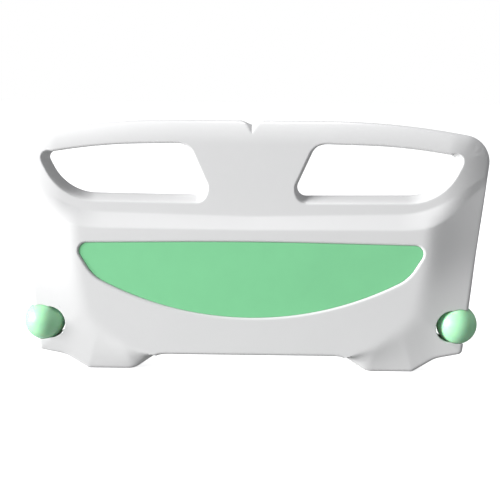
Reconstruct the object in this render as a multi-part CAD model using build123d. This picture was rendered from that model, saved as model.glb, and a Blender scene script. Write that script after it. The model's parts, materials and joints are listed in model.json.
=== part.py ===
"""End board of a hospital bed: two moulded casings over a steel frame, with bumpers and locks.

+Z is up, +X is to the right seen from the front, and the front faces -Y. The origin is midway
between the two feet, on the plane that they stand on, in the plane where the casings meet.
Sizes are in millimetres. Outlines are lists of corners (x, z, corner radius) in the X-Z plane.
"""
from build123d import *
import os

# --- Casings ---------------------------------------------------------------------------------
WALL = 3.5
EDGE_ROUND = 7.0          # rounding of every outer rim and of the hand openings
RAIL_DEPTH = 22.0         # each casing, from the parting plane to the face round the openings
FRONT_PANEL_DEPTH = 34.0  # front casing, to the flat of the raised lower panel
BACK_PANEL_DEPTH = 28.0   # back casing, to the flat of its raised lower panel
PANEL_WALL_INSET = 1.5

TOP_Z = 509.0
OUTLINE = [(281, TOP_Z, 1600), (477.4, 475, 55), (434.7, 39.8, 10), (380.4, 29, 60),
           (333.8, 0, 8), (239, 0, 41), (190, 34, 62)]
OPENING = [(128.9, 464.6, 30), (295, 461, 1100), (410, 442.9, 12), (369.5, 363.5, 95), (82.4, 360.5, 18)]
PANEL_FOOT = [(0, 320, 2000), (341.3, 327.7, 150), (453.6, 395.6, 12), (429.3, 53.4, 20), (372, 40.5, 60)]
PANEL_FLAT = [(0, 294.7, 2000), (327.4, 296.7, 120), (358.3, 306, 10), (378.8, 138, 70), (293.8, 70.3, 60)]

NOTCH_DEPTH = 8.5         # V notch at the top centre
NOTCH_HALF_WIDTH = 20.0
NOTCH_FADE_Z = 480.0      # where the notch runs out on the face
NOTCH_OVERRUN = 20.0      # how far the cutter runs past the crown

# --- Decor insert ----------------------------------------------------------------------------
INSERT = [(0, 271.2, 9000), (357.4, 265.2, 17), (317.3, 197.5, 80), (0, 35.9, 640)]
INSERT_THICKNESS = 2.0
TAPE_THICKNESS = 0.6
POCKET_DEPTH = 5.6
INSERT_GAP = 0.3
INSERT_EDGE_ROUND = 0.8
POCKET_LIP = 2.4
TAPE_STRIPS = [(0, 244, 560, 18), (-110, 173, 18, 80), (110, 173, 18, 80)]  # x, z, width, height

# --- Steel frame -----------------------------------------------------------------------------
TUBE_RADIUS = 10.0
TUBE_WALL = 2.0
RAIL_PATH = [(410.3, 177, 0), (438.2, 461.4, 35), (260, 487, 1200)]
CROSS_Z = 195.0
CROSS_HALF_LENGTH = 406.5
SOCKET_X = 284.0
SOCKET_TUBE_RADIUS = 15.0
SOCKET_BORE_RADIUS = 12.75   # takes a 25 mm post
GUIDE_RADIUS = 16.2
GUIDE_CLEARANCE = 0.2
GUIDE_BOTTOM_Z = 0.5
GUIDE_TOP_Z = 14.5
GUIDE_MOUTH = 2.4            # chamfer that leads the post in
GUIDE_FLANGE_RADIUS = 18.2
GUIDE_FLANGE_Z = (3.6, 6.2)
FRAME_SCREW_X = [130, 330]
FRAME_SCREW_TIP_Y = -20.0

# --- Ball bumpers ----------------------------------------------------------------------------
BALL_X = 424.0
BALL_Z = 98.0
BALL_RADIUS = 41.0
BALL_HALF_HEIGHT = 37.8
BALL_CLEARANCE = 1.2
WINDOW_X = 410.5
WINDOW_RADIUS = 33.0
CUP_RADIUS = 47.0
CUP_WALL = 3.0
CUP_BOSS_RADIUS = 13.0
CUP_SEAT = 41.0           # from the ball's centre up and down to the faces that the washers rest on
CUP_BOSS_BOTTOM_Z = 42.5
CUP_BOSS_TOP_Z = 155.0
PIN_RADIUS = 4.0
PIN_BOTTOM_Z = 46.0
PIN_TOP_Z = 153.0
PIN_CHAMFER = 0.8
BALL_BORE_RADIUS = 4.6
BUSH_RADIUS = 7.0
BUSH_BORE_RADIUS = 4.05
BUSH_LENGTH = 15.0
BUSH_FLANGE_RADIUS = 8.5
FLANGE_THICKNESS = 1.6
WASHER_THICKNESS = 1.5
WASHER_RADIUS = 9.0

# --- Locks that hold the board on the bed's posts ----------------------------------------------
LOCK_X = 252.0
LOCK_Z = 98.0
BEZEL_RADIUS = 22.0
BEZEL_THICKNESS = 3.0
BEZEL_ROUND = 1.2
BARREL_RADIUS = 12.0
BARREL_CLEARANCE = 0.2
BARREL_END_Y = 9.2
SHANK_RADIUS = 6.0
SHANK_CLEARANCE = 0.05
KNOB_RADIUS = 20.0
KNOB_FRONT_GAP = 0.2
KNOB_DISC = 3.6
KNOB_GRIP_HEIGHT = 4.4
KNOB_GRIP_WIDTH = 10.0
KNOB_GRIP_LENGTH = 36.0
KNOB_ROUND = 1.5
CAM_HALF_THICKNESS = 4.0
CAM_HUB_RADIUS = 9.0
CAM_HUB_TOP_Y = 7.5
CAM_WIDTH = 10.0
CAM_REACH = 24.0
CAM_TIP_ROUND = 3.0
CAM_WINDOW = (5.0, 7.0, 19.0)  # half depth, below and above the lock's axis
CAM_SCREW_RADIUS = 2.0
CAM_SCREW_HEAD = (4.0, 2.6)      # radius and height
CAM_SCREW_TIP_Y = 19.5
NUT_RADIUS = 17.0
NUT_THICKNESS = 6.0
LOCK_WASHER_GAP = 0.1
LOCK_WASHER_CLEARANCE = 0.2

# --- Screws ------------------------------------------------------------------------------------
# x, z, and the depth of the back casing's face at each pair of screws
SHELL_SCREWS = [(45, 450, 22), (45, 345, 22), (190, 342, 22), (454, 415, 22),
                (385, 163, 27), (356, 48, 23), (155, 53, 24.5), (150, 228, 28)]
BOSS_RADIUS = 7.0
SCREW_RADIUS = 1.9
SCREW_CLEARANCE = 0.3
SCREW_HEAD_RADIUS = 4.0
SCREW_HEAD_HEIGHT = 2.8
SCREW_HEAD_Y = 8.0
SCREW_TIP_Y = -10.0
COUNTERBORE_RADIUS = 4.6
CAP_RADIUS = 4.5
CAP_THICKNESS = 2.5
CAP_RECESS = 1.0

RIB_X = [70, 200, 330]
RIB_THICKNESS = 3.0
RIB_BOTTOM_Z = 455.0
TUBE_CLEARANCE = 0.2
FAR = 80.0                # well past either face of the board
BEYOND_SIDE = 600.0       # well past either side of it
PAST = 1.0                # how far a cutter runs past the face that it opens
NEAR = 0.1                # tolerance for finding edges by their place
SIDES = {"left": -1, "right": 1}


def face_from(corners):
    """Face in the X-Z plane from corners (x, z, radius), facing the front."""
    points = [(x, z) for x, z, _ in corners]
    radii = [radius for _, _, radius in corners]
    return Plane.XZ * make_face(FilletPolyline(*points, radius=radii, close=True))


def symmetric_face(right_corners):
    """Face whose right half is given; corners at x = 0 aren't repeated."""
    left_corners = [(-x, z, radius) for x, z, radius in reversed(right_corners) if x > 0]
    return face_from(right_corners + left_corners)


def slab(face, front_y, back_y):
    """Solid of a face in the X-Z plane between two Y levels."""
    return Pos(0, back_y, 0) * extrude(face, amount=back_y - front_y)


def upright(radius, x, y, low_z, high_z):
    """Vertical cylinder."""
    height = high_z - low_z
    return Pos(x, y, (low_z + high_z) / 2) * Cylinder(radius, height)


def crosswise(radius, x, z, front_y, back_y):
    """Cylinder along Y."""
    length = back_y - front_y
    return Pos(x, (front_y + back_y) / 2, z) * Rot(90, 0, 0) * Cylinder(radius, length)


def block(x_span, y_span, z_span):
    """Box from three (low, high) spans."""
    spans = (x_span, y_span, z_span)
    middle = [(low + high) / 2 for low, high in spans]
    size = [high - low for low, high in spans]
    return Pos(*middle) * Box(*size)


def edges_at_y(solid, y):
    return solid.edges().filter_by_position(Axis.Y, y - NEAR, y + NEAR)


def on_side(sign, solid):
    """The solid as made on the right, or mirrored to the left."""
    return solid if sign > 0 else mirror(solid, about=Plane.YZ)


def both_sides(solid):
    return [solid, mirror(solid, about=Plane.YZ)]


# --- Outlines shared by the casings -----------------------------------------------------------
def opening_faces(growth=0.0):
    face = face_from(OPENING)
    if growth:
        face = offset(face, amount=growth)
    return both_sides(face)


def panel_solid(depth, inset=0.0, base=RAIL_DEPTH):
    """Raised lower panel of the front casing: slopes from its foot up to its flat."""
    foot = symmetric_face(PANEL_FOOT)
    flat = symmetric_face(PANEL_FLAT)
    if inset:
        foot = offset(foot, amount=-inset)
        flat = offset(flat, amount=-inset)
    return loft([Pos(0, -base, 0) * foot, Pos(0, -depth, 0) * flat], ruled=True)


def outer_body(panel_depth):
    """Full outside of a front casing, before it is hollowed."""
    body = slab(symmetric_face(OUTLINE), -RAIL_DEPTH, 0)
    for face in opening_faces():
        body -= slab(face, -FAR, FAR)
    body = fillet(edges_at_y(body, -RAIL_DEPTH), EDGE_ROUND)
    return body + panel_solid(panel_depth)


def inner_space(panel_depth):
    """Hollow of a front casing: the outside less the wall, and less the walls of the openings."""
    space = slab(offset(symmetric_face(OUTLINE), amount=-WALL), -RAIL_DEPTH + WALL, 0)
    space += panel_solid(panel_depth - WALL, PANEL_WALL_INSET, RAIL_DEPTH - WALL - NEAR)
    for face in opening_faces(WALL):
        space -= slab(face, -FAR, FAR)
    return space


def bosses():
    """Posts round the shell screws."""
    posts = []
    for x, z, _ in SHELL_SCREWS:
        posts += both_sides(crosswise(BOSS_RADIUS, x, z, -FAR, FAR))
    return posts


def rail_ribs():
    """Upright ribs that seat the rail tube."""
    ribs = []
    for x in RIB_X:
        rib = block((x - RIB_THICKNESS / 2, x + RIB_THICKNESS / 2), (-FAR, FAR), (RIB_BOTTOM_Z, TOP_Z))
        ribs += both_sides(rib - tube_solid(TUBE_RADIUS + TUBE_CLEARANCE))
    return ribs


def notch():
    """V groove over the top rail, deepest at the crown and running out down each face."""
    floor_z = TOP_Z - NOTCH_DEPTH
    run = Vector(0, -RAIL_DEPTH, NOTCH_FADE_Z - floor_z).normalized()
    start = Vector(0, 0, floor_z) - run * NOTCH_OVERRUN
    across = Plane(origin=start, x_dir=(1, 0, 0), z_dir=run)
    enlarged = 3
    half_width = enlarged * NOTCH_HALF_WIDTH
    square_depth = enlarged * NOTCH_DEPTH * abs(run.Y)
    wedge_face = make_face(Polyline((0, 0), (half_width, square_depth), (-half_width, square_depth),
                                    close=True))
    groove = extrude(across * wedge_face, amount=FAR)
    return [groove, mirror(groove, about=Plane.XZ)]


def ball_windows():
    """Slots in the casings that the balls look out of, and the round space that they turn in."""
    cuts = []
    slot_end = crosswise(WINDOW_RADIUS, WINDOW_X, BALL_Z, -FAR, FAR)
    slot_run = block((WINDOW_X, BEYOND_SIDE), (-FAR, FAR), (BALL_Z - WINDOW_RADIUS, BALL_Z + WINDOW_RADIUS))
    ball_space = Pos(BALL_X, 0, BALL_Z) * Sphere(BALL_RADIUS + BALL_CLEARANCE)
    for piece in (slot_end, slot_run, ball_space):
        cuts += both_sides(piece)
    return cuts


def guide_holes():
    return both_sides(upright(GUIDE_RADIUS + GUIDE_CLEARANCE, SOCKET_X, 0, -PAST, WALL + PAST))


def finish_casing(body):
    """Cuts that both casings share."""
    for cut in notch() + ball_windows() + guide_holes():
        body -= cut
    return body


# --- Casings -----------------------------------------------------------------------------------
def front_space():
    space = inner_space(FRONT_PANEL_DEPTH)
    pocket_floor = FRONT_PANEL_DEPTH - POCKET_DEPTH
    behind_pocket = offset(symmetric_face(INSERT), amount=WALL)
    return space - slab(behind_pocket, -FAR, -pocket_floor + WALL)


def back_space():
    return mirror(inner_space(BACK_PANEL_DEPTH), about=Plane.XZ)


def frame_screw_bosses():
    posts = []
    for x in FRAME_SCREW_X:
        posts += both_sides(crosswise(BOSS_RADIUS, x, CROSS_Z, -FAR, -TUBE_RADIUS))
    return posts


def front_shell(space):
    body = outer_body(FRONT_PANEL_DEPTH)
    body -= slab(symmetric_face(INSERT), -FAR, -FRONT_PANEL_DEPTH + POCKET_DEPTH)
    insert_box = symmetric_face(INSERT).bounding_box()
    pocket_edges = [edge for edge in edges_at_y(body, -FRONT_PANEL_DEPTH)
                    if insert_box.min.Z - NEAR < edge.center().Z < insert_box.max.Z + NEAR
                    and insert_box.min.X - NEAR < edge.center().X < insert_box.max.X + NEAR]
    body = fillet(pocket_edges, POCKET_LIP)
    for post in bosses() + frame_screw_bosses() + rail_ribs():
        space -= post
    body = finish_casing(body - space)
    for x, z, _ in SHELL_SCREWS:
        for hole in both_sides(crosswise(SCREW_RADIUS, x, z, SCREW_TIP_Y - PAST, PAST)):
            body -= hole
    for x in FRAME_SCREW_X:
        for hole in both_sides(crosswise(SCREW_RADIUS, x, CROSS_Z, FRAME_SCREW_TIP_Y - PAST, 0)):
            body -= hole
    return body


def back_shell(space):
    body = mirror(outer_body(BACK_PANEL_DEPTH), about=Plane.XZ)
    for post in bosses() + rail_ribs():
        space -= post
    body = finish_casing(body - space)
    for x, z, _ in SHELL_SCREWS:
        stepped_hole = crosswise(SCREW_RADIUS + SCREW_CLEARANCE, x, z, -PAST, SCREW_HEAD_Y + PAST)
        stepped_hole += crosswise(COUNTERBORE_RADIUS, x, z, SCREW_HEAD_Y, FAR)
        for hole in both_sides(stepped_hole):
            body -= hole
    barrel_hole = crosswise(BARREL_RADIUS + BARREL_CLEARANCE, LOCK_X, LOCK_Z, BARREL_END_Y, FAR)
    for hole in both_sides(barrel_hole):
        body -= hole
    return body


# --- Decor insert --------------------------------------------------------------------------------
def insert_panel():
    back = -FRONT_PANEL_DEPTH + POCKET_DEPTH - TAPE_THICKNESS
    panel = slab(offset(symmetric_face(INSERT), amount=-INSERT_GAP), back - INSERT_THICKNESS, back)
    return fillet(edges_at_y(panel, back - INSERT_THICKNESS), INSERT_EDGE_ROUND)


def insert_tape():
    floor = -FRONT_PANEL_DEPTH + POCKET_DEPTH
    return [block((x - width / 2, x + width / 2), (floor - TAPE_THICKNESS, floor),
                  (z - height / 2, z + height / 2))
            for x, z, width, height in TAPE_STRIPS]


# --- Steel frame ---------------------------------------------------------------------------------
def tube_solid(radius):
    """Solid round bar along the rail tube's line."""
    right = [(x, 0, z) for x, z, _ in RAIL_PATH]
    left = [(-x, y, z) for x, y, z in reversed(right)]
    bends = [radius_of_bend for _, _, radius_of_bend in RAIL_PATH[1:]]
    path = FilletPolyline(*(right + left), radius=bends + bends[::-1])
    start = Plane(origin=path @ 0, z_dir=path % 0)
    return sweep(start * Circle(radius), path=path)


def rail_tube():
    return tube_solid(TUBE_RADIUS) - tube_solid(TUBE_RADIUS - TUBE_WALL)


def cross_tube():
    span = (-CROSS_HALF_LENGTH, CROSS_HALF_LENGTH)
    outside = block(span, (-TUBE_RADIUS, TUBE_RADIUS), (CROSS_Z - TUBE_RADIUS, CROSS_Z + TUBE_RADIUS))
    half_hollow = TUBE_RADIUS - TUBE_WALL
    hollow = block((-BEYOND_SIDE, BEYOND_SIDE), (-half_hollow, half_hollow),
                   (CROSS_Z - half_hollow, CROSS_Z + half_hollow))
    tube = outside - hollow - tube_solid(TUBE_RADIUS)
    for x in FRAME_SCREW_X:
        for hole in both_sides(crosswise(SCREW_RADIUS, x, CROSS_Z, -FAR, FAR)):
            tube -= hole
    return tube


def socket_tube(sign):
    """Tube that drops over the bed's post, with a window for the lock's cam."""
    top = CROSS_Z - TUBE_RADIUS
    tube = upright(SOCKET_TUBE_RADIUS, SOCKET_X, 0, GUIDE_TOP_Z, top)
    tube -= upright(SOCKET_BORE_RADIUS, SOCKET_X, 0, GUIDE_TOP_Z - PAST, top + PAST)
    half_depth, below, above = CAM_WINDOW
    tube -= block((LOCK_X, SOCKET_X), (-half_depth, half_depth), (LOCK_Z - below, LOCK_Z + above))
    return on_side(sign, tube)


def socket_guide(sign):
    """Plastic mouth of the socket, held in the foot by its flange."""
    guide = upright(GUIDE_RADIUS, SOCKET_X, 0, GUIDE_BOTTOM_Z, GUIDE_TOP_Z)
    guide += upright(GUIDE_FLANGE_RADIUS, SOCKET_X, 0, *GUIDE_FLANGE_Z)
    guide -= upright(SOCKET_BORE_RADIUS, SOCKET_X, 0, GUIDE_BOTTOM_Z - PAST, GUIDE_TOP_Z + PAST)
    bottom_rims = guide.edges().filter_by(GeomType.CIRCLE).group_by(Axis.Z)[0]
    guide = chamfer(bottom_rims.sort_by(SortBy.RADIUS)[0], GUIDE_MOUTH)
    return on_side(sign, guide)


# --- Ball bumpers ----------------------------------------------------------------------------------
def bumper_cup(sign, whole_space):
    """Round wall between the casings that closes the ball's pocket, with a seat at each end of the pin."""
    ring = crosswise(CUP_RADIUS + CUP_WALL, BALL_X, BALL_Z, -FAR, FAR)
    ring -= crosswise(CUP_RADIUS, BALL_X, BALL_Z, -FAR, FAR)
    seats = upright(CUP_BOSS_RADIUS, BALL_X, 0, BALL_Z + CUP_SEAT, CUP_BOSS_TOP_Z)
    seats += upright(CUP_BOSS_RADIUS, BALL_X, 0, CUP_BOSS_BOTTOM_Z, BALL_Z - CUP_SEAT)
    cup = (ring + seats) & whole_space
    cup -= upright(PIN_RADIUS, BALL_X, 0, PIN_BOTTOM_Z, PIN_TOP_Z)
    return on_side(sign, cup)


def ball(sign):
    body = Pos(BALL_X, 0, BALL_Z) * Sphere(BALL_RADIUS)
    low, high = BALL_Z - BALL_HALF_HEIGHT, BALL_Z + BALL_HALF_HEIGHT
    body &= block((0, BEYOND_SIDE), (-FAR, FAR), (low, high))
    body -= upright(BALL_BORE_RADIUS, BALL_X, 0, low - PAST, high + PAST)
    body -= upright(BUSH_RADIUS, BALL_X, 0, low - PAST, low + BUSH_LENGTH)
    body -= upright(BUSH_RADIUS, BALL_X, 0, high - BUSH_LENGTH, high + PAST)
    return on_side(sign, body)


def bush(sign, end):
    """Flanged bush pressed into one end of the ball; end is 1 for the upper, -1 for the lower."""
    seat = BALL_Z + end * BALL_HALF_HEIGHT
    inner_end = seat - end * BUSH_LENGTH
    outer_end = seat + end * FLANGE_THICKNESS
    piece = upright(BUSH_RADIUS, BALL_X, 0, min(seat, inner_end), max(seat, inner_end))
    piece += upright(BUSH_FLANGE_RADIUS, BALL_X, 0, min(seat, outer_end), max(seat, outer_end))
    piece -= upright(BUSH_BORE_RADIUS, BALL_X, 0, PIN_BOTTOM_Z, PIN_TOP_Z)
    return on_side(sign, piece)


def thrust_washer(sign, end):
    seat = BALL_Z + end * CUP_SEAT
    inner = seat - end * WASHER_THICKNESS
    piece = upright(WASHER_RADIUS, BALL_X, 0, min(seat, inner), max(seat, inner))
    piece -= upright(PIN_RADIUS, BALL_X, 0, PIN_BOTTOM_Z, PIN_TOP_Z)
    return on_side(sign, piece)


def bumper_pin(sign):
    pin = upright(PIN_RADIUS, BALL_X, 0, PIN_BOTTOM_Z, PIN_TOP_Z)
    return on_side(sign, chamfer(pin.edges().filter_by(GeomType.CIRCLE), PIN_CHAMFER))


# --- Locks -----------------------------------------------------------------------------------------
def lock_housing(sign):
    """Bezel outside the back casing, and the barrel that the knob's shank turns in."""
    face = BACK_PANEL_DEPTH
    bezel = crosswise(BEZEL_RADIUS, LOCK_X, LOCK_Z, face, face + BEZEL_THICKNESS)
    bezel = fillet(edges_at_y(bezel, face + BEZEL_THICKNESS), BEZEL_ROUND)
    barrel = crosswise(BARREL_RADIUS, LOCK_X, LOCK_Z, BARREL_END_Y, face)
    bore = crosswise(SHANK_RADIUS + SHANK_CLEARANCE, LOCK_X, LOCK_Z, 0, FAR)
    return on_side(sign, bezel + barrel - bore)


def lock_nut(sign):
    """Hexagon nut that clamps the housing to the back casing."""
    inner_face = BACK_PANEL_DEPTH - WALL
    hexagon = Plane.XZ * Pos(LOCK_X, LOCK_Z) * RegularPolygon(NUT_RADIUS, 6)
    nut = slab(hexagon, inner_face - NUT_THICKNESS, inner_face)
    nut -= crosswise(BARREL_RADIUS, LOCK_X, LOCK_Z, 0, FAR)
    return on_side(sign, nut)


def lock_knob(sign):
    """Turn knob with an upright grip bar, and its shank."""
    start = BACK_PANEL_DEPTH + BEZEL_THICKNESS + KNOB_FRONT_GAP
    disc_top = start + KNOB_DISC
    knob = crosswise(KNOB_RADIUS, LOCK_X, LOCK_Z, start, disc_top)
    knob = fillet(edges_at_y(knob, disc_top), KNOB_ROUND)
    grip_face = Plane.XZ * Pos(LOCK_X, LOCK_Z) * SlotOverall(KNOB_GRIP_LENGTH, KNOB_GRIP_WIDTH, rotation=90)
    grip = slab(grip_face, disc_top - PAST, disc_top + KNOB_GRIP_HEIGHT)
    grip = fillet(edges_at_y(grip, disc_top + KNOB_GRIP_HEIGHT), KNOB_ROUND)
    shank = crosswise(SHANK_RADIUS, LOCK_X, LOCK_Z, CAM_HUB_TOP_Y, start)
    knob = knob + grip + shank
    knob -= crosswise(CAM_SCREW_RADIUS, LOCK_X, LOCK_Z, 0, CAM_SCREW_TIP_Y + PAST)
    return on_side(sign, knob)


def lock_cam(sign):
    """Cam whose finger stands up when the lock is open and turns outward into the socket tube."""
    hub = crosswise(CAM_HUB_RADIUS, LOCK_X, LOCK_Z, -CAM_HALF_THICKNESS, CAM_HUB_TOP_Y)
    finger = block((LOCK_X - CAM_WIDTH / 2, LOCK_X + CAM_WIDTH / 2),
                   (-CAM_HALF_THICKNESS, CAM_HALF_THICKNESS), (LOCK_Z, LOCK_Z + CAM_REACH))
    tip = finger.edges().filter_by(Axis.Y).group_by(Axis.Z)[-1]
    cam = hub + fillet(tip, CAM_TIP_ROUND)
    cam -= crosswise(CAM_SCREW_RADIUS, LOCK_X, LOCK_Z, -FAR, FAR)
    return on_side(sign, cam)


def lock_washer(sign):
    washer = crosswise(CAM_HUB_RADIUS, LOCK_X, LOCK_Z, CAM_HUB_TOP_Y + LOCK_WASHER_GAP, BARREL_END_Y)
    washer -= crosswise(SHANK_RADIUS + LOCK_WASHER_CLEARANCE, LOCK_X, LOCK_Z, 0, FAR)
    return on_side(sign, washer)


def lock_screw(sign):
    head_radius, head_height = CAM_SCREW_HEAD
    underside = -CAM_HALF_THICKNESS
    head = crosswise(head_radius, LOCK_X, LOCK_Z, underside - head_height, underside)
    shank = crosswise(CAM_SCREW_RADIUS, LOCK_X, LOCK_Z, underside, CAM_SCREW_TIP_Y)
    return on_side(sign, head + shank)


# --- Screws ----------------------------------------------------------------------------------------
def screw(x, z, tip_y, head_y):
    shank = crosswise(SCREW_RADIUS, x, z, tip_y, head_y)
    return shank + crosswise(SCREW_HEAD_RADIUS, x, z, head_y, head_y + SCREW_HEAD_HEIGHT)


def shell_screws():
    screws = []
    for x, z, _ in SHELL_SCREWS:
        screws += both_sides(screw(x, z, SCREW_TIP_Y, SCREW_HEAD_Y))
    return screws


def screw_caps():
    caps = []
    for x, z, face in SHELL_SCREWS:
        cap = crosswise(CAP_RADIUS, x, z, face - CAP_RECESS - CAP_THICKNESS, face - CAP_RECESS)
        caps += both_sides(cap)
    return caps


def frame_screws():
    screws = []
    for x in FRAME_SCREW_X:
        screws += both_sides(screw(x, CROSS_Z, FRAME_SCREW_TIP_Y, TUBE_RADIUS))
    return screws


def save(name, solids):
    """Write one node: a solid, or a group of separate solids."""
    shape = Compound(children=solids) if isinstance(solids, list) else solids
    export_step(shape, f"parts/{name}.step")


def main():
    os.makedirs("parts", exist_ok=True)
    front_hollow = front_space()
    back_hollow = back_space()
    save("front_shell", front_shell(front_hollow))
    save("back_shell", back_shell(back_hollow))
    save("insert_panel", insert_panel())
    save("insert_tape", insert_tape())
    save("rail_tube", rail_tube())
    save("cross_tube", cross_tube())
    for side, sign in SIDES.items():
        save(f"{side}_socket_tube", socket_tube(sign))
        save(f"{side}_socket_guide", socket_guide(sign))
        save(f"{side}_bumper_cup", bumper_cup(sign, front_hollow + back_hollow))
        save(f"{side}_bumper_ball", ball(sign))
        save(f"{side}_bumper_pin", bumper_pin(sign))
        for place, end in (("upper", 1), ("lower", -1)):
            save(f"{side}_{place}_bush", bush(sign, end))
            save(f"{side}_{place}_thrust_washer", thrust_washer(sign, end))
        save(f"{side}_lock_housing", lock_housing(sign))
        save(f"{side}_lock_nut", lock_nut(sign))
        save(f"{side}_lock_knob", lock_knob(sign))
        save(f"{side}_lock_cam", lock_cam(sign))
        save(f"{side}_lock_washer", lock_washer(sign))
        save(f"{side}_lock_screw", lock_screw(sign))
    save("shell_screws", shell_screws())
    save("screw_caps", screw_caps())
    save("frame_screws", frame_screws())


main()
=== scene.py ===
"""Looks of a hospital bed's end board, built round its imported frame.

The two casings are made again as smooth moulded shells, from the outlines that the frame's casings
have. The balls and the screw caps are made again too. Every other piece is the frame's own.
Shapes are worked out in millimetres, in the frame's axes, and turned into metres in one place.
"""

import json
import math

import bpy
import numpy as np
from mathutils import Matrix, Vector, geometry, kdtree


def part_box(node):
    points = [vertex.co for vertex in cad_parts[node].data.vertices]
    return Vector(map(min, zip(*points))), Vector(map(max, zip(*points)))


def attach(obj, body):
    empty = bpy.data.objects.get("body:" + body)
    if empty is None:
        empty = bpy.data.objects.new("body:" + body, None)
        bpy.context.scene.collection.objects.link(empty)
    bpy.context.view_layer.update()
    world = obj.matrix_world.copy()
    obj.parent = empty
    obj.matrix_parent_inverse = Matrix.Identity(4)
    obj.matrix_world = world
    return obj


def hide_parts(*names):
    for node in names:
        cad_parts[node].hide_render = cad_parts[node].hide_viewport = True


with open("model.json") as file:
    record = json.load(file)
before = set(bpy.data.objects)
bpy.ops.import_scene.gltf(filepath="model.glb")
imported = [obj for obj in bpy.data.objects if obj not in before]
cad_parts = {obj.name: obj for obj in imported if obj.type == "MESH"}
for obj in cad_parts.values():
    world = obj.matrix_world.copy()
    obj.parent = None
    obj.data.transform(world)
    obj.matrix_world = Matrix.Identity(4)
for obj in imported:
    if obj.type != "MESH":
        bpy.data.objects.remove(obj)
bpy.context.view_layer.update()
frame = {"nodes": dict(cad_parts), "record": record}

MM = 0.001


def box_mm(node):
    """Lowest and highest corner of a node of the frame, in millimetres."""
    low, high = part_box(node)
    return np.array(low) / MM, np.array(high) / MM


# --- Sizes -----------------------------------------------------------------------------------
# Outlines are corners (x, z, corner radius) of the right half, from the top down.
RAIL_DEPTH = 22.0            # from the parting plane to the face round the hand openings
front_low, front_high = box_mm("front_shell")
FRONT_DEPTH = -front_low[1]
BACK_DEPTH = box_mm("back_shell")[1][1]
TOP_Z = front_high[2]

OUTLINE = [(281, TOP_Z, 1600), (477.4, 475, 55), (434.7, 39.8, 10), (380.4, 29, 60),
           (333.8, 0, 8), (239, 0, 41), (190, 34, 62)]
OPENING = [(128.9, 464.6, 30), (295, 461, 1100), (410, 442.9, 12), (369.5, 363.5, 95),
           (82.4, 360.5, 18)]
INSERT = [(0, 271.2, 9000), (357.4, 265.2, 17), (317.3, 197.5, 80), (0, 35.9, 640)]
# Flat middle of the panel
CORE = [(340, 420, 0), (336, 235, 300), (316, 120, 60), (250, 60, 120), (120, -10, 0)]

# Creases above the raised panel, as (x, z) from the middle outward
UPPER_CREASE = [(0, 320.1), (310.2, 327.2), (345.1, 334.3), (379.7, 347.5), (405, 365.6),
                (430.3, 381.6), (480, 412)]
LOWER_CREASE = [(0, 294.7), (311.3, 296.7), (346.4, 299.8), (372.3, 307.9), (388.9, 319.1),
                (406.5, 331.3), (422.8, 347.4), (438.9, 368.6), (480, 390)]
CREASE_BLEND = 0.05          # softness of the creases, as a share of the band between them
CREASE_WINDOW = 26.0         # length along which a crease's bends are smoothed
NARROWEST_BAND = 8.0

TOP_ROUND = (46.0, 18.0)     # rim's rounding along the top: across the face, and back from it
SIDE_ROUND = (7.0, 7.0)      # the same down the sides and along the bottom
TOP_FACING = 0.9             # the rim has the top's rounding where its direction is this much upward
REACH = 16.0                 # how far the flat pattern runs past the outline, to fold back as the rim
SEAM_ROUND = 0.8
SEAM_STEPS = ((SEAM_ROUND, 0), (0.3, 0.2), (0, SEAM_ROUND))  # its section, as level and widening
HOLE_ROUND = 4.5             # front edge of a hand opening
HOLE_REACH = 4.0             # how far the flat pattern runs past a hand opening's throat
FLARE = {"bottom": 14.5, "outer": 14.5, "inner": 5.0}  # from the throat out to the front edge
THROAT_LEVEL = 2.0           # the flared wall ends this far from the parting plane
THROAT_FALL = RAIL_DEPTH - THROAT_LEVEL
LIP_WIDTH = 5.0              # rounded lip round the insert
LIP_DEPTH = 4.2
SLOPE_START = 5.0            # the side slopes end this far inside the outline
SLOPE_ONSET = 0.22           # share of a side slope over which it gets steep
SLOPE_EASE = 0.35            # how much less steep it is at the rim
EAR_WIDTH = 88.0             # the face round the hand openings falls back this near to the sides
EAR_CURVE = 1.8              # how late it falls back
# Depth of the face at the side rims, as (z, depth)
RIM_DEPTH = [(0, 21.5), (120, 21.5), (174, 18.5), (235, 9.3), (275, 8.2), (320, 9.5), (360, 9),
             (400, 5.5), (475, 4)]
RIM_WINDOW = 50.0            # length along which these depths are smoothed
SHELL_THICKNESS = 2.6
SEAM_GAP = 0.05

NOTCH_HALF_WIDTH = 19.5
NOTCH_DEPTH = 8.4
NOTCH_Z = (480.0, TOP_Z + 7)  # in the flat pattern: where the notch runs out, and where it is full

ball_low, ball_high = box_mm("right_bumper_ball")
BALL = (ball_low + ball_high) / 2
BALL_RADIUS = (ball_high[0] - ball_low[0]) / 2
BALL_CLEARANCE = 0.9
WINDOW_X = 410.5
WINDOW_RADIUS = 33.0
WINDOW_ROUND = 1.6
WINDOW_WALL = 3.0
WINDOW_SPAN = 1.7            # the window meets the side within this many radii of the ball's middle
WINDOW_FIRST_GUESS = 0.9     # of the radius
WINDOW_ANGLES = np.radians(np.arange(0, 90, 7.5))
WINDOW_STEP = 2.5            # spacing of the points on the window's straight edges
WINDOW_END_GAP = 0.8         # least distance of these points from the pattern's side

POCKET_FLOOR = -box_mm("insert_tape")[1][1]

socket_low, socket_high = box_mm("right_socket_guide")
SOCKET_X = (socket_low[0] + socket_high[0]) / 2
SOCKET_HOLE = 16.4
SOCKET_MOUTH = 14.5          # the hole's reach in the flat pattern, which is stretched as it folds
MOUTH_ANGLES = np.radians(np.arange(180, -1, -12))

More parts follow.
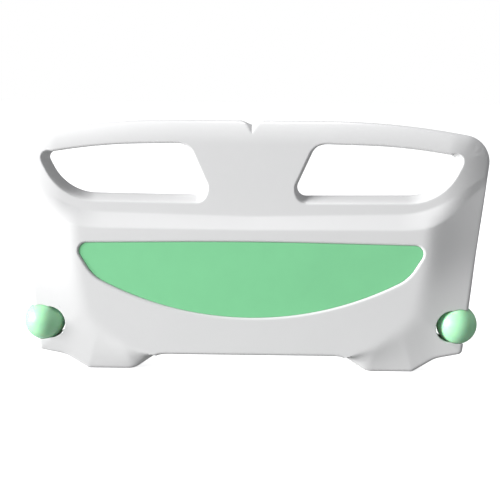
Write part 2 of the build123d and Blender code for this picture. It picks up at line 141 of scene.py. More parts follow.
# Screws that hold the casings together, x and z of the right-hand ones
SCREWS = [(45, 450), (45, 345), (190, 342), (454, 415), (385, 163), (356, 48), (155, 53), (150, 228)]
CAP_HOLE = 4.6
CAP_RADIUS = 4.45
lock_low, lock_high = box_mm("right_lock_housing")
LOCK = (lock_low + lock_high) / 2
BARREL_HOLE = 12.2
ROUND_HOLE_WALL = 3.5        # height of the walls inside these holes

GRID = 5.0                   # spacing of the casing's mesh points away from edges
RING_STEP = 4.0              # and along them
OPENING_STEP = 3.5           # and along the hand openings
HIGHEST = 520.0              # above the board's top
WIDEST = 470.0               # half the width of the creases' lines
BEYOND_SIDE = 700.0          # past the board's sides


# --- Plane curves ------------------------------------------------------------------------------
def rounded(corners, step=RING_STEP):
    """Points round a closed outline with rounded corners, about step apart."""
    spots = np.array([corner[:2] for corner in corners], float)
    arcs = []
    for index, (_, _, radius) in enumerate(corners):
        here = spots[index]
        to_last = spots[index - 1] - here
        to_next = spots[(index + 1) % len(spots)] - here
        to_last /= np.linalg.norm(to_last)
        to_next /= np.linalg.norm(to_next)
        half_angle = math.acos(np.clip(to_last @ to_next, -1, 1)) / 2
        if radius == 0:
            arcs.append([here])
            continue
        inward = (to_last + to_next) / np.linalg.norm(to_last + to_next)
        centre = here + inward * radius / math.sin(half_angle)
        first = here + to_last * radius / math.tan(half_angle) - centre
        last = here + to_next * radius / math.tan(half_angle) - centre
        turn = math.atan2(first[0] * last[1] - first[1] * last[0], first @ last)
        pieces = max(2, math.ceil(abs(turn) * radius / step), math.ceil(abs(turn) / math.radians(9)))
        angles = np.linspace(0, turn, pieces + 1)
        arcs.append([centre + np.array((first[0] * math.cos(a) - first[1] * math.sin(a),
                                        first[0] * math.sin(a) + first[1] * math.cos(a)))
                     for a in angles])
    points = []
    for index, arc in enumerate(arcs):
        points += arc
        start, end = arc[-1], arcs[(index + 1) % len(arcs)][0]
        pieces = math.ceil(np.linalg.norm(end - start) / step)
        points += [start + (end - start) * share for share in np.linspace(0, 1, pieces + 1)[1:-1]]
    points = np.array(points)
    apart = np.linalg.norm(points - np.roll(points, 1, axis=0), axis=1)
    return points[apart > 1e-6]


def symmetric(right_corners):
    return right_corners + [(-x, z, radius) for x, z, radius in reversed(right_corners) if x > 0]


def mirrored(corners):
    return [(-x, z, radius) for x, z, radius in corners]


NEAR_LINE = 0.3              # nearer to a curve than this, the way out is square to its own line
RING_SLACK = (0.05, 0.08)    # how far a ring's points may be off: always, and for each mm of growth


class Curve:
    """A closed curve in the X-Z plane that runs anticlockwise."""

    def __init__(self, points):
        after = np.roll(points, -1, axis=0)
        area = (points[:, 0] * after[:, 1] - points[:, 1] * after[:, 0]).sum()
        self.points = points if area > 0 else points[::-1]
        self.tree = kdtree.KDTree(len(points))
        for index, (x, z) in enumerate(self.points):
            self.tree.insert((x, z, 0), index)
        self.tree.balance()

    def nearest(self, places):
        """For each place: its depth inside the curve, the nearest point, and the direction out."""
        count = len(self.points)
        index = np.array([self.tree.find((x, z, 0))[1] for x, z in places])
        distance = np.full(len(places), np.inf)
        inside = np.ones(len(places))
        foot = np.zeros((len(places), 2))
        outward = np.zeros((len(places), 2))
        for first in (index - 1, index):
            start = self.points[first % count]
            step = self.points[(first + 1) % count] - start
            share = np.clip(((places - start) * step).sum(1) / (step ** 2).sum(1), 0, 1)
            near = start + share[:, None] * step
            away = places - near
            length = np.linalg.norm(away, axis=1)
            closer = length < distance
            distance[closer] = length[closer]
            foot[closer] = near[closer]
            side = np.sign(step[:, 0] * away[:, 1] - step[:, 1] * away[:, 0])
            inside[closer] = np.where(side == 0, 1, side)[closer]
            normal = np.stack((step[:, 1], -step[:, 0]), 1) / np.linalg.norm(step, axis=1)[:, None]
            outward[closer] = normal[closer]
        far = distance > NEAR_LINE
        outward[far] = ((foot - places) * (inside / np.maximum(distance, 1e-9))[:, None])[far]
        return inside * distance, foot, outward

    def ring(self, growth):
        """Points at a distance outside the curve, or inside it where growth is negative."""
        along = np.roll(self.points, -1, axis=0) - np.roll(self.points, 1, axis=0)
        outward = np.stack((along[:, 1], -along[:, 0]), 1) / np.linalg.norm(along, axis=1)[:, None]
        growth = np.broadcast_to(growth, len(self.points))
        points = self.points + outward * growth[:, None]
        depth, _, _ = self.nearest(points)
        return points[np.abs(depth + growth) < RING_SLACK[0] + RING_SLACK[1] * np.abs(growth)]


def within(places, ring, batch=4000):
    """Which places lie inside a closed ring of points."""
    after = np.roll(ring, -1, axis=0)
    result = np.zeros(len(places), bool)
    rise = after[:, 1] - ring[:, 1]
    rise[rise == 0] = 1e-12
    for first in range(0, len(places), batch):
        x, z = places[first:first + batch, 0:1], places[first:first + batch, 1:2]
        spans = (ring[:, 1] > z) != (after[:, 1] > z)
        crossing = ring[:, 0] + (z - ring[:, 1]) / rise * (after[:, 0] - ring[:, 0])
        result[first:first + batch] = (spans & (x < crossing)).sum(1) % 2 == 1
    return result


def smooth(value):
    value = np.clip(value, 0, 1)
    return value * value * (3 - 2 * value)


def mix(low, high, share):
    return low + (high - low) * share


def soft_ramp(value, blend):
    """0 below 0, 1 above 1 and straight between, with both corners rounded off."""
    def bend(v):
        return np.where(v > blend, v, np.where(v < -blend, 0, (v + blend) ** 2 / (4 * blend)))
    return bend(value) - bend(value - 1)


outline = Curve(rounded(symmetric(OUTLINE)))
openings = [Curve(rounded(OPENING, OPENING_STEP)), Curve(rounded(mirrored(OPENING), OPENING_STEP))]
insert = Curve(rounded(symmetric(INSERT)))
core = Curve(rounded(symmetric(CORE)))
(side_x, side_z, _), (low_x, low_z, _) = OUTLINE[1:3]    # ends of the straight side


def eased(points, at, window, step=2.0):
    """Value at each place of a line through points, with its bends smoothed over a window."""
    half = int(window // (2 * step))
    along = np.arange(0, HIGHEST, step)
    value = np.interp(along, [point[0] for point in points], [point[1] for point in points])
    padded = np.concatenate((value[2 * half:0:-1], value, np.full(2 * half, value[-1])))
    for _ in range(2):
        padded = np.convolve(padded, np.ones(2 * half + 1) / (2 * half + 1), "same")
    return np.interp(np.abs(at), along, padded[2 * half:-2 * half])


def crease(points, x):
    return eased(points, x, CREASE_WINDOW)


# How far a side slope has fallen at each share of its width
slope_share = np.linspace(0, 1, 201)
slope_rate = (1 - np.exp(-(slope_share / SLOPE_ONSET) ** 2)) * (1 - SLOPE_EASE * slope_share)
slope_fall = np.cumsum(slope_rate) / slope_rate.sum()


def face_height(places, rim, panel_depth):
    """Distance from the parting plane to the face, before edges are rounded."""
    upper = crease(UPPER_CREASE, places[:, 0])
    lower = crease(LOWER_CREASE, places[:, 0])
    band = soft_ramp((upper - places[:, 1]) / np.maximum(upper - lower, NARROWEST_BAND), CREASE_BLEND)
    rim_depth = eased(RIM_DEPTH, np.maximum(places[:, 1], 0), RIM_WINDOW)
    side = low_x + (places[:, 1] - low_z) * (side_x - low_x) / (side_z - low_z)
    nearness = np.clip(1 - (side - np.abs(places[:, 0])) / EAR_WIDTH, 0, 1) ** EAR_CURVE
    rail = mix(RAIL_DEPTH, rim_depth, nearness)
    beyond_core = np.maximum(-core.nearest(places)[0], 0)
    to_rim = np.maximum(rim - SLOPE_START, 0)
    share = beyond_core / np.maximum(beyond_core + to_rim, 1e-6)
    panel = mix(panel_depth, rim_depth, np.interp(share, slope_share, slope_fall))
    return mix(rail, panel, band)


def throat_wall(away, sign):
    """Flare and section of a hand opening's wall, by the direction out of the opening.

    The section is where its rounded front edge starts, the wall's angle to the face, and the
    lengths of the rounding and of the straight wall.
    """
    bottom = np.clip(-away[:, 1], 0, 1) ** 2
    outer = np.clip(away[:, 0] * sign, 0, 1) ** 2
    inner = np.clip(-away[:, 0] * sign, 0, 1) ** 2
    flare = FLARE["bottom"] * bottom + FLARE["outer"] * outer + FLARE["inner"] * inner
    steep = np.arctan2(THROAT_FALL, flare)
    tangent = HOLE_ROUND * np.tan(steep / 2)
    return flare + tangent, steep, HOLE_ROUND * steep, np.hypot(flare, THROAT_FALL) - tangent


def fold_rim(places):
    """Places with the pattern's outer part turned back, their depth inside the outline, and how far
    each has turned and fallen back.
    """
    rim, foot, outward = outline.nearest(places)
    upward = smooth(outward[:, 1] / TOP_FACING)
    width = mix(SIDE_ROUND[0], TOP_ROUND[0], upward)
    depth = mix(SIDE_ROUND[1], TOP_ROUND[1], upward)
    turn = (width + depth) / 2 * math.pi / 2
    length = turn + RAIL_DEPTH - depth
    travelled = np.clip(width - rim, 0, None) * length / (width + REACH)
    angle = np.minimum(travelled / turn, 1) * math.pi / 2
    into_seam = np.clip(travelled - length + SEAM_ROUND, 0, SEAM_ROUND)
    inset = width * (1 - np.sin(angle)) + SEAM_ROUND - np.sqrt(SEAM_ROUND ** 2 - into_seam ** 2)
    fall = depth * (1 - np.cos(angle)) + np.clip(travelled - turn, 0, None)
    flat = np.where((rim < width)[:, None], foot - outward * inset[:, None], places)
    return flat, rim, angle, fall


def fold_openings(flat):
    """Moves places to where the hand openings' walls put them. Returns how far down the wall each is."""
    sunk = np.zeros(len(flat))
    for hole, sign in zip(openings, (1, -1)):
        inside, foot, away = hole.nearest(flat)
        start, steep, round_length, wall_length = throat_wall(away, sign)
        walked = np.clip((start + inside) / (start + HOLE_REACH), 0, 1) * (round_length + wall_length)
        bend = np.minimum(walked / HOLE_ROUND, steep)
        beyond = np.maximum(walked - round_length, 0)
        outside = start - HOLE_ROUND * np.sin(bend) - beyond * np.cos(steep)
        near = inside > -start
        flat[near] = (foot + away * outside[:, None])[near]
        sunk += (HOLE_ROUND * (1 - np.cos(bend)) + beyond * np.sin(steep)) / THROAT_FALL
    return np.minimum(sunk, 1)


def fold_lip(flat):
    """Moves places onto the rounded lip round the insert. Returns how far each drops."""
    inside, foot, away = insert.nearest(flat)
    over = np.clip(1 + inside / LIP_WIDTH, 0, 1) * math.pi / 2
    near = inside > -LIP_WIDTH
    flat[near] = (foot + away * (LIP_WIDTH * (1 - np.sin(over)))[:, None])[near]
    return LIP_DEPTH * (1 - np.cos(over))


def notch_depth(places):
    """Depth of the V-shaped notch in the top edge at each place."""
    reached = np.clip((places[:, 1] - NOTCH_Z[0]) / (NOTCH_Z[1] - NOTCH_Z[0]), 0, 1)
    half_width = np.maximum(NOTCH_HALF_WIDTH * reached, 0.1)
    return NOTCH_DEPTH * reached * np.clip(1 - np.abs(places[:, 0]) / half_width, 0, 1)


def fold(places, front):
    """Where each place of the flat pattern lies on the front or back casing."""
    flat, rim, angle, fall = fold_rim(places)
    sunk = fold_openings(flat)
    drop = fold_lip(flat) if front else 0
    height = face_height(flat, rim, FRONT_DEPTH if front else BACK_DEPTH)
    height = mix(height - drop, THROAT_LEVEL, sunk) * (1 - fall / RAIL_DEPTH)
    notch = notch_depth(places)
    y = np.maximum(height - notch * np.cos(angle), 0) + SEAM_GAP
    return np.stack((flat[:, 0], -y if front else y, flat[:, 1] - notch * np.sin(angle)), 1)


def window_half(x, z, sign):
    """Pattern heights of the ball window's upper or lower edge at each x, clear of the ball."""
    target = np.full(len(x), WINDOW_RADIUS)
    inner = x < WINDOW_X
    target[inner] = np.sqrt(np.maximum(WINDOW_RADIUS ** 2 - (WINDOW_X - x[inner]) ** 2, 0))
    for _ in range(4):
        solid = fold(np.stack((x, z), 1), True)
        reach = (BALL_RADIUS + BALL_CLEARANCE) ** 2 - (solid[:, 0] - BALL[0]) ** 2 - solid[:, 1] ** 2
        needed = np.where(inner, 0, np.sqrt(np.maximum(reach, 0)))
        half = np.maximum(target, needed)
        z = z + (BALL[2] + sign * half - solid[:, 2])
    return z


def window_edges(side):
    """Lower and upper edge of the right ball window, from its inner end out to the pattern's side."""
    straight = np.arange(WINDOW_X, side[:, 0].max(), WINDOW_STEP)
    x = np.concatenate((WINDOW_X - WINDOW_RADIUS * np.cos(WINDOW_ANGLES), straight))
    edges = []
    for sign in (-1, 1):
        guess = BALL[2] + sign * WINDOW_RADIUS * WINDOW_FIRST_GUESS
        z = window_half(x, np.full(len(x), guess), sign)
        z[0] = BALL[2]
        kept = x < np.interp(z, side[:, 1], side[:, 0]) - WINDOW_END_GAP
        last = (np.interp(z[kept][-1], side[:, 1], side[:, 0]), z[kept][-1])
        edges.append(np.concatenate((np.stack((x, z), 1)[kept], [last])))
    return edges


def pattern_edge():
    """Outer edge of the flat pattern with its ball windows and socket mouths, and the right window."""
    ring = outline.ring(REACH)
    start = np.flatnonzero((ring[:, 0] > 0) & (np.roll(ring[:, 0], 1) <= 0))[0]
    ring = np.roll(ring, -start, axis=0)
    right = ring[ring[:, 0] > 0]
    outer = right[:, 0] > BALL[0]
    near_ball = np.abs(right[:, 1] - BALL[2]) < WINDOW_SPAN * WINDOW_RADIUS
    lower, upper = window_edges(right[outer & near_ball])
    cut = np.flatnonzero(outer & (right[:, 1] > lower[-1, 1] - 1) & (right[:, 1] < upper[-1, 1] + 1))
    bottom = np.flatnonzero((np.abs(right[:, 0] - SOCKET_X) < SOCKET_HOLE) & (right[:, 1] < 1 - REACH))
    mouth = np.stack((SOCKET_X + SOCKET_HOLE * np.cos(MOUTH_ANGLES),
                      SOCKET_MOUTH * np.sin(MOUTH_ANGLES) - REACH), 1)
    window = np.concatenate((lower[::-1], upper[1:]))
    half = np.concatenate((right[:bottom[0]], mouth, right[bottom[-1] + 1:cut[0]], window,
                           right[cut[-1] + 1:]))
    return np.concatenate((half, half[::-1] * (-1, 1))), window


# --- Meshes --------------------------------------------------------------------------------------
# Rings of mesh points, as distances outward from a window, the insert, an opening's front edge and
# the outline, or as shares of a width, and the least gap between their points and earlier ones
WINDOW_RINGS = (0.5, 1.1, 1.8, 3.0)
LIP_RINGS = (0.5, 1.1, 1.8, 2.6, 3.5, 4.4, LIP_WIDTH, 6.5)
THROAT_ROUND_SHARES = (-0.25, 0, 0.2, 0.4, 0.6, 0.8, 1)
THROAT_WALL_SHARES = (0.3, 0.6, 0.85)
OPENING_RINGS = (3, 6, 10)
SEAM_RINGS = (15.6, 15.1, 14.5)
RIM_RINGS = (13, 11, 9, 7, 5, 3, 1, -1, -3, -5, -7, -9.5, -12, -15, -18.5, -22, -25)
CREASE_SHARES = (-0.06, 0, 0.06, -0.15, 0.15, 0.5, 0.94, 1, 1.06, 0.85, 1.15)
EDGE_GAP = 0.45
WALL_GAP = 0.8
CREASE_GAP = 0.9
NOTCH_GAP = 1.0
FACE_GAP = 1.4
GRID_GAP = 0.62 * GRID
NOTCH_STEP = 1.5
SMOOTH_BELOW = math.radians(38)


class Pattern:
    """Points of a flat pattern, each kept clear of those added before it."""

    def __init__(self, boundaries):
        self.loops = []
        self.points = []
        self.cells = {}
        self.boundaries = boundaries
        for ring in boundaries:
            first = len(self.points)
            for point in ring:
                self.put(point)
            self.loops.append(list(range(first, first + len(ring))))

    def put(self, point):
        cell = (int(point[0] // GRID), int(point[1] // GRID))
        self.cells.setdefault(cell, []).append(len(self.points))
        self.points.append(tuple(point))

    def is_clear(self, point, clearance):
        column, row = int(point[0] // GRID), int(point[1] // GRID)
        for i in (column - 1, column, column + 1):
            for j in (row - 1, row, row + 1):
                for other in self.cells.get((i, j), ()):
                    x, z = self.points[other]
                    if (x - point[0]) ** 2 + (z - point[1]) ** 2 < clearance ** 2:
                        return False
        return True

    def add(self, points, clearance):
        points = np.asarray(points, float)
        keep = within(points, self.boundaries[0])
        for ring in self.boundaries[1:]:
            keep &= ~within(points, ring)
        for point in points[keep]:
            if self.is_clear(point, clearance):
                self.put(point)

    def fill(self):
        low, high = self.boundaries[0].min(0), self.boundaries[0].max(0)
        rows = np.arange(low[1], high[1], GRID * math.sqrt(3) / 2)
        columns = np.arange(math.floor(low[0] / GRID) * GRID, high[0], GRID)
        grid = [(x + (GRID / 2 if row % 2 else 0), z) for row, z in enumerate(rows) for x in columns]
        self.add(grid, GRID_GAP)

    def triangles(self):
        edges = [(loop[i], loop[(i + 1) % len(loop)]) for loop in self.loops for i in range(len(loop))]
        points, _, faces, origins, _, _ = geometry.delaunay_2d_cdt(
            [Vector(point) for point in self.points], edges, [], 0, 1e-4)
        old = np.array([group[0] if group else -1 for group in origins])
        assert (old >= 0).all(), "the pattern's outlines cross"
        faces = old[np.array(faces)]
        spots = np.array(self.points)
        edge_count = sum(len(loop) for loop in self.loops)
        doubtful = np.flatnonzero((faces < edge_count).all(1))
        centres = spots[faces[doubtful]].mean(1)
        keep = within(centres, self.boundaries[0])
        for ring in self.boundaries[1:]:
            keep &= ~within(centres, ring)
        kept = np.ones(len(faces), bool)
        kept[doubtful[~keep]] = False
        return spots, faces[kept]


def make_object(name, points, faces, material, body="board"):
    """Mesh object from points in millimetres."""
    mesh = bpy.data.meshes.new(name)
    mesh.from_pydata((np.asarray(points) * MM).tolist(), [], [list(map(int, face)) for face in faces])
    mesh.validate()
    mesh.materials.append(material)
    piece = bpy.data.objects.new(name, mesh)
    bpy.context.scene.collection.objects.link(piece)
    mesh.shade_smooth()
    mesh.set_sharp_from_angle(angle=SMOOTH_BELOW)
    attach(piece, body)
    return piece


def wall(points, faces, loop, rings, flip):
    """Quads from a loop of the mesh through further rings of the same length. Returns the last ring."""
    last = loop
    for ring in rings:
        first = len(points)
        points.extend(ring)
        new = list(range(first, first + len(ring)))
        for i in range(len(loop)):
            j = (i + 1) % len(loop)
            quad = (last[i], last[j], new[j], new[i])
            faces.append(quad[::-1] if flip else quad)
        last = new
    return last


def point_normals(points, faces):
    corners = points[faces]
    across = np.cross(corners[:, 1] - corners[:, 0], corners[:, 2] - corners[:, 0])
    normals = np.zeros_like(points)
    for corner in range(3):
        np.add.at(normals, faces[:, corner], across)
    return normals / np.maximum(np.linalg.norm(normals, axis=1), 1e-12)[:, None]


def circle(x, z, radius, count=28):
    angles = np.linspace(0, 2 * math.pi, count, endpoint=False)
    return np.stack((x + radius * np.cos(angles), z + radius * np.sin(angles)), 1)


def clear_of_balls(points):
    """Points moved out of the space in which the balls turn."""
    points = points.copy()
    reach = BALL_RADIUS + BALL_CLEARANCE
    for sign in (1, -1):
        away = points - BALL * (sign, 1, 1)
        apart = np.linalg.norm(away, axis=1)
        near = apart < reach
        points[near] += away[near] * (reach / apart[near] - 1)[:, None]
    return points


def lay_pattern(edge, window_curves, round_holes, front):
    """Flat pattern of a casing, with its mesh points closer together wherever it bends."""
    boundaries = [edge] + [hole.ring(-HOLE_REACH) for hole in openings]
    if front:
        boundaries.append(insert.points)
    boundaries += [circle(x, z, radius) for x, z, radius in round_holes]
    pattern = Pattern(boundaries)
    for curve in window_curves:
        for growth in WINDOW_RINGS:
            pattern.add(curve.ring(growth), EDGE_GAP)
    if front:
        for growth in LIP_RINGS:
            pattern.add(insert.ring(growth), EDGE_GAP)
    for hole, sign in zip(openings, (1, -1)):
        start, _, round_length, wall_length = throat_wall(hole.nearest(hole.points)[2], sign)
        rounding = round_length / (round_length + wall_length)
        for share in THROAT_ROUND_SHARES:
            pattern.add(hole.ring(start - share * rounding * (start + HOLE_REACH)), EDGE_GAP)
        for share in THROAT_WALL_SHARES:
            pattern.add(hole.ring(start - mix(rounding, 1, share) * (start + HOLE_REACH)), WALL_GAP)
        for growth in OPENING_RINGS:
            pattern.add(hole.ring(start + growth), FACE_GAP)
    for growth in SEAM_RINGS:
        pattern.add(outline.ring(growth), EDGE_GAP)
    for growth in RIM_RINGS:
        pattern.add(outline.ring(growth), FACE_GAP)
    along = np.arange(-WIDEST, WIDEST + 0.1, RING_STEP)
    for share in CREASE_SHARES:
        height = mix(crease(UPPER_CREASE, along), crease(LOWER_CREASE, along), share)
        pattern.add(np.stack((along, height), 1), CREASE_GAP)
    for x in (0, -NOTCH_STEP, NOTCH_STEP):
        pattern.add([(x, z) for z in np.arange(NOTCH_Z[0], TOP_Z + REACH, NOTCH_STEP)], NOTCH_GAP)
    pattern.fill()
    return pattern


def add_throat_end(points, faces, loop, hole, out, flip):
    """Turns a hand opening's wall into the seam between the casings."""
    edge_ring = np.array([points[i] for i in loop])
    _, _, away = hole.nearest(edge_ring[:, (0, 2)])
    rings = []
    for level, widen in SEAM_STEPS:
        ring = edge_ring.copy()
        ring[:, 1] = out * (level + SEAM_GAP)
        ring[:, (0, 2)] += away * widen
        rings.append(list(ring))
    wall(points, faces, loop, rings, flip)


def add_pocket(points, faces, loop):
    """Closes the front casing behind the insert."""
    floor = np.array([points[i] for i in loop])
    floor[:, 1] = -POCKET_FLOOR
    faces.append(tuple(wall(points, faces, loop, [list(floor)], False)))


def add_window_wall(points, faces, members, normals, flip):
    """Turns the edge of a ball window inward."""
    ring = clear_of_balls(np.array([points[i] for i in members]) - normals[members] * WINDOW_WALL)
    first = len(points)
    points.extend(ring)
    for i in range(len(members) - 1):
        quad = (members[i], members[i + 1], first + i + 1, first + i)
        faces.append(quad[::-1] if flip else quad)


def casing(name, front, round_holes, material):
    """A moulded casing: the folded pattern, with walls turned inward at every hole."""
    edge, window = pattern_edge()
    windows = [window * (sign, 1) for sign in (1, -1)]
    window_curves = [Curve(np.concatenate((ring, [(sign * BEYOND_SIDE, ring[-1, 1]),
                                                  (sign * BEYOND_SIDE, ring[0, 1])])))
                     for ring, sign in zip(windows, (1, -1))]
    pattern = lay_pattern(edge, window_curves, round_holes, front)
    flat, faces = pattern.triangles()
    points = fold(flat, front)
    if not front:
        faces = faces[:, ::-1]
    normals = point_normals(points, faces)
    for curve in window_curves:
        over = np.clip(WINDOW_ROUND + curve.nearest(flat)[0], 0, WINDOW_ROUND)
        sink = WINDOW_ROUND - np.sqrt(WINDOW_ROUND ** 2 - over ** 2)
        points = points - normals * sink[:, None]
    points = list(clear_of_balls(points))
    faces = [tuple(face) for face in faces]
    out, flip = (-1, False) if front else (1, True)
    loops = pattern.loops[1:]
    for hole in openings:
        add_throat_end(points, faces, loops.pop(0), hole, out, flip)
    if front:
        add_pocket(points, faces, loops.pop(0))
    for loop in loops:
        ring = np.array([points[i] for i in loop])
        ring[:, 1] -= out * ROUND_HOLE_WALL
        wall(points, faces, loop, [list(ring)], flip)
    index_of = {tuple(np.round(point, 6)): i for i, point in enumerate(pattern.points[:len(edge)])}
    for ring, sign in zip(windows, (1, -1)):
        members = [index_of[tuple(np.round(point, 6))] for point in ring]
        add_window_wall(points, faces, members, normals, (sign < 0) != front)
    piece = make_object(name, points, faces, material)
    solid = piece.modifiers.new("thickness", "SOLIDIFY")
    solid.thickness = SHELL_THICKNESS * MM
    solid.offset = -1
    return piece


def turned(profile, centre, axis, count=96):
    """Profile of (radius, height) turned about an upright or a Y axis through centre."""
    points, faces = [], []
    size = len(profile)
    for angle in np.linspace(0, 2 * math.pi, count, endpoint=False):
        for radius, height in profile:
            across, over = radius * math.cos(angle), radius * math.sin(angle)
            spot = (across, over, height) if axis == "Z" else (across, height, over)
            points.append(centre + np.array(spot))
    for i in range(count):
        j = (i + 1) % count
        for a in range(size):
            b = (a + 1) % size
            faces.append((i * size + a, j * size + a, j * size + b, i * size + b))
    return points, faces


# --- Materials -----------------------------------------------------------------------------------
def surface(name, colour, roughness, grain, grain_height, mottle=0.03, rough_change=0.06, **sockets):
    """Procedural finish: colour and gloss that vary a little over the piece, and a fine moulded grain.

    grain is the size of the grain in millimetres, grain_height its height in micrometres.
    """
    material = bpy.data.materials.new(name)
    material.use_nodes = True
    nodes, links = material.node_tree.nodes, material.node_tree.links
    shader = nodes["Principled BSDF"]
    for socket, value in sockets.items():
        shader.inputs[socket.replace("_", " ")].default_value = value
    place = nodes.new("ShaderNodeTexCoord")

    def noise(size, detail, seed):
        texture = nodes.new("ShaderNodeTexNoise")
        texture.noise_dimensions = "4D"
        texture.inputs["W"].default_value = seed
        texture.inputs["Scale"].default_value = 1 / (size * MM)
        texture.inputs["Detail"].default_value = detail
        links.new(place.outputs["Object"], texture.inputs["Vector"])
        return texture.outputs["Fac"]

    def ranged(value, low, high):
        step = nodes.new("ShaderNodeMapRange")
        step.inputs["From Min"].default_value = 0.3
        step.inputs["From Max"].default_value = 0.7
        step.inputs["To Min"].default_value = low
        step.inputs["To Max"].default_value = high
        links.new(value, step.inputs["Value"])
        return step.outputs["Result"]

    colours = nodes.new("ShaderNodeMix")
    colours.data_type = "RGBA"
    darker = [channel * (1 - mottle) for channel in colour]
    colours.inputs["A"].default_value = (*darker, 1)
    colours.inputs["B"].default_value = (*colour, 1)
    links.new(ranged(noise(70, 3, 1.0), 0, 1), colours.inputs["Factor"])
    links.new(colours.outputs["Result"], shader.inputs["Base Color"])
    links.new(ranged(noise(9, 4, 2.0), roughness - rough_change, roughness + rough_change),
              shader.inputs["Roughness"])
    bump = nodes.new("ShaderNodeBump")
    bump.inputs["Distance"].default_value = grain_height * 1e-6
    bump.inputs["Strength"].default_value = 1.0
    links.new(noise(grain, 2, 3.0), bump.inputs["Height"])
    links.new(bump.outputs["Normal"], shader.inputs["Normal"])
    return material


casing_white = surface("casing_white", (0.80, 0.80, 0.802), 0.34, 1.1, 7, 0.012, 0.02, Coat_Weight=0.1)
insert_green = surface("insert_green", (0.262, 0.745, 0.375), 0.42, 0.8, 16, 0.05, 0.06)
bumper_green = surface("bumper_green", (0.47, 0.94, 0.56), 0.38, 2.0, 8, 0.05, 0.05, Coat_Weight=0.35,
                       Coat_Roughness=0.28, Subsurface_Weight=0.3, Subsurface_Scale=0.006)
SLOT_FINISHES = {
    "casing_white": casing_white,
    "insert_green": insert_green,
    "bumper_green": bumper_green,
    "adhesive": surface("adhesive", (0.62, 0.62, 0.58), 0.80, 0.5, 60, 0.10),
    "frame_grey": surface("frame_grey", (0.26, 0.28, 0.29), 0.48, 0.9, 40, 0.08, Metallic=0.25),
    "nylon": surface("nylon", (0.74, 0.72, 0.62), 0.45, 0.7, 12, 0.05, Subsurface_Weight=0.1),
    "cup_white": surface("cup_white", (0.58, 0.58, 0.59), 0.55, 0.8, 20, 0.06),
    "guide_black": surface("guide_black", (0.012, 0.012, 0.014), 0.50, 0.6, 20, 0.25),
    "steel": surface("steel", (0.56, 0.57, 0.60), 0.30, 0.5, 6, 0.10, 0.10, Metallic=1.0),
    "lock_grey": surface("lock_grey", (0.075, 0.08, 0.09), 0.46, 0.55, 32, 0.15),
    "cap_white": surface("cap_white", (0.74, 0.74, 0.76), 0.34, 0.8, 10, 0.03),
}
for subpart in frame["record"]["subparts"]:
    mesh = frame["nodes"][subpart["node"]].data
    mesh.materials.clear()
    mesh.materials.append(SLOT_FINISHES[subpart["material_slot"]])


# --- Pieces --------------------------------------------------------------------------------------
screw_places = [(sign * x, z) for x, z in SCREWS for sign in (1, -1)]
cap_holes = [(x, z, CAP_HOLE) for x, z in screw_places]
barrel_holes = [(sign * LOCK[0], LOCK[2], BARREL_HOLE) for sign in (1, -1)]
front_casing = casing("front_casing", True, [], casing_white)
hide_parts("front_shell")
back_casing = casing("back_casing", False, cap_holes + barrel_holes, casing_white)
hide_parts("back_shell")


BALL_BORE = 7.0
BALL_END_ROUND = (1.6, 0.6)  # how far the edge of the flat ends is taken in, across and down
MOULD_LINE_DEPTH = 0.12
MOULD_LINE_HALF_ANGLE = 0.012
CAP_PROFILE = [(0.01, 3.0), (CAP_RADIUS, 3.0), (CAP_RADIUS, 0.9), (CAP_RADIUS - 0.35, 0.5),
               (CAP_RADIUS - 1.6, 0.3), (0.01, 0.22)]    # radius, and depth under the casing's face


def make_ball(side, sign):
    """Ball with rounded ends, a bore for its bushes and a fine mould line round its middle."""
    flat = (ball_high[2] - ball_low[2]) / 2
    limit = math.asin((flat - BALL_END_ROUND[1]) / BALL_RADIUS)
    profile = [(BALL_BORE, -flat), (math.cos(limit) * BALL_RADIUS - BALL_END_ROUND[0], -flat)]
    profile += [(math.cos(angle) * BALL_RADIUS, math.sin(angle) * BALL_RADIUS)
                for angle in np.linspace(-limit, -MOULD_LINE_HALF_ANGLE, 22)]
    profile += [(BALL_RADIUS - MOULD_LINE_DEPTH, 0)]
    profile += [(radius, -height) for radius, height in profile[-2::-1]]
    points, faces = turned(profile, BALL * (sign, 1, 1), "Z")
    ball = make_object(f"{side}_ball", points, faces, bumper_green, f"{side}_bumper")
    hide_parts(f"{side}_bumper_ball")


for side, sign in (("left", -1), ("right", 1)):
    make_ball(side, sign)

cap_points, cap_faces = [], []
for x, z in screw_places:
    level = fold(np.array([(x, z)], float), False)[0, 1]
    profile = [(radius, level - depth) for radius, depth in CAP_PROFILE]
    points, faces = turned(profile, np.array((x, 0, z)), "Y", 32)
    cap_faces += [tuple(len(cap_points) + corner for corner in face) for face in faces]
    cap_points += points
caps = make_object("screw_covers", cap_points, cap_faces, SLOT_FINISHES["cap_white"])
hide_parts("screw_caps")


# --- Studio --------------------------------------------------------------------------------------
BOARD_MIDDLE = (0, 0, 0.25)


def area_light(name, place, target, size, watts):
    light = bpy.data.lights.new(name, "AREA")
    light.shape = "DISK"
    light.size = size
    light.energy = watts
    lamp = bpy.data.objects.new(name, light)
    lamp.location = place
    lamp.rotation_euler = (Vector(target) - Vector(place)).to_track_quat("-Z", "Y").to_euler()
    bpy.context.scene.collection.objects.link(lamp)


FLOOR_GLOW = 0.84            # what the camera sees on top of the floor's own light
FLOOR_BOUNCE = (0.31, 0.31, 0.31)
SKY_LIGHT = 0.31
SKY_COLOUR = (0.97, 0.98, 1.0)
FLOOR_RADIUS = 30.0


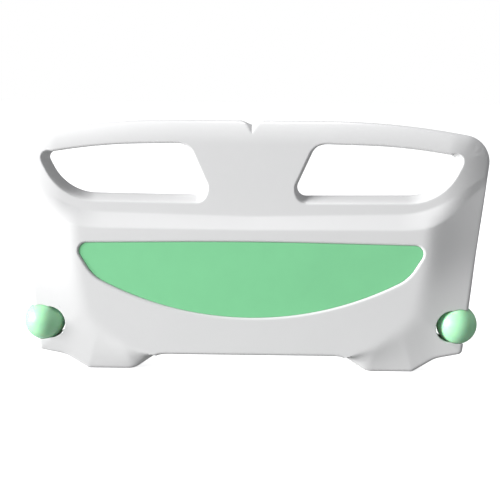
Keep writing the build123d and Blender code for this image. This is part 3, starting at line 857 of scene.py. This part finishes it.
def pale_floor():
    """Floor that looks white, and throws back less light than it shows."""
    bpy.ops.mesh.primitive_circle_add(vertices=96, radius=FLOOR_RADIUS, fill_type="NGON",
                                      location=(0, 0, 0))
    floor = bpy.context.object
    floor.name = "floor"
    material = surface("floor_pale", (0.90, 0.90, 0.90), 0.75, 3.0, 30, 0.01)
    nodes, links = material.node_tree.nodes, material.node_tree.links
    shader = nodes["Principled BSDF"]
    shader.inputs["Emission Color"].default_value = (1, 1, 1, 1)
    shader.inputs["Emission Strength"].default_value = FLOOR_GLOW
    dim = nodes.new("ShaderNodeBsdfDiffuse")
    dim.inputs["Color"].default_value = (*FLOOR_BOUNCE, 1)
    path, choose = nodes.new("ShaderNodeLightPath"), nodes.new("ShaderNodeMixShader")
    links.new(path.outputs["Is Camera Ray"], choose.inputs["Fac"])
    links.new(dim.outputs["BSDF"], choose.inputs[1])
    links.new(shader.outputs["BSDF"], choose.inputs[2])
    links.new(choose.outputs["Shader"], nodes["Material Output"].inputs["Surface"])
    floor.data.materials.append(material)


def backdrop():
    """White sky for the camera, and a dimmer one for the light that it gives."""
    world = bpy.data.worlds.new("studio")
    bpy.context.scene.world = world
    world.use_nodes = True
    nodes, links = world.node_tree.nodes, world.node_tree.links
    nodes.clear()
    seen, lit = nodes.new("ShaderNodeBackground"), nodes.new("ShaderNodeBackground")
    seen.inputs["Strength"].default_value = 1.0
    seen.inputs["Color"].default_value = (1, 1, 1, 1)
    lit.inputs["Color"].default_value = (*SKY_COLOUR, 1)
    lit.inputs["Strength"].default_value = SKY_LIGHT
    path, choose = nodes.new("ShaderNodeLightPath"), nodes.new("ShaderNodeMixShader")
    output = nodes.new("ShaderNodeOutputWorld")
    links.new(path.outputs["Is Camera Ray"], choose.inputs["Fac"])
    links.new(lit.outputs["Background"], choose.inputs[1])
    links.new(seen.outputs["Background"], choose.inputs[2])
    links.new(choose.outputs["Shader"], output.inputs["Surface"])


pale_floor()
backdrop()
area_light("key", (-11.5, -4.1, 2.75), BOARD_MIDDLE, 5.5, 2970)
area_light("top", (0.2, -0.05, 3.2), BOARD_MIDDLE, 0.6, 24)
bpy.context.scene.view_settings.view_transform = "Standard"

CAMERA_AIM = Vector((-0.0015, -0.020, 0.2518))
CAMERA_DISTANCE = 1.790
CAMERA_ELEVATION = math.radians(10.4)
CAMERA_TURN = math.radians(0.8)
CAMERA_ROLL = math.radians(0.48)
CAMERA_LENS = 64.08
camera = bpy.data.objects.new("camera", bpy.data.cameras.new("camera"))
camera.data.lens = CAMERA_LENS
back = Vector((math.sin(CAMERA_TURN) * math.cos(CAMERA_ELEVATION),
               -math.cos(CAMERA_TURN) * math.cos(CAMERA_ELEVATION), math.sin(CAMERA_ELEVATION)))
camera.location = CAMERA_AIM + back * CAMERA_DISTANCE
facing = (-back).to_track_quat("-Z", "Y").to_matrix()
camera.rotation_euler = (facing @ Matrix.Rotation(CAMERA_ROLL, 3, "Z")).to_euler()
bpy.context.scene.collection.objects.link(camera)
bpy.context.scene.camera = camera
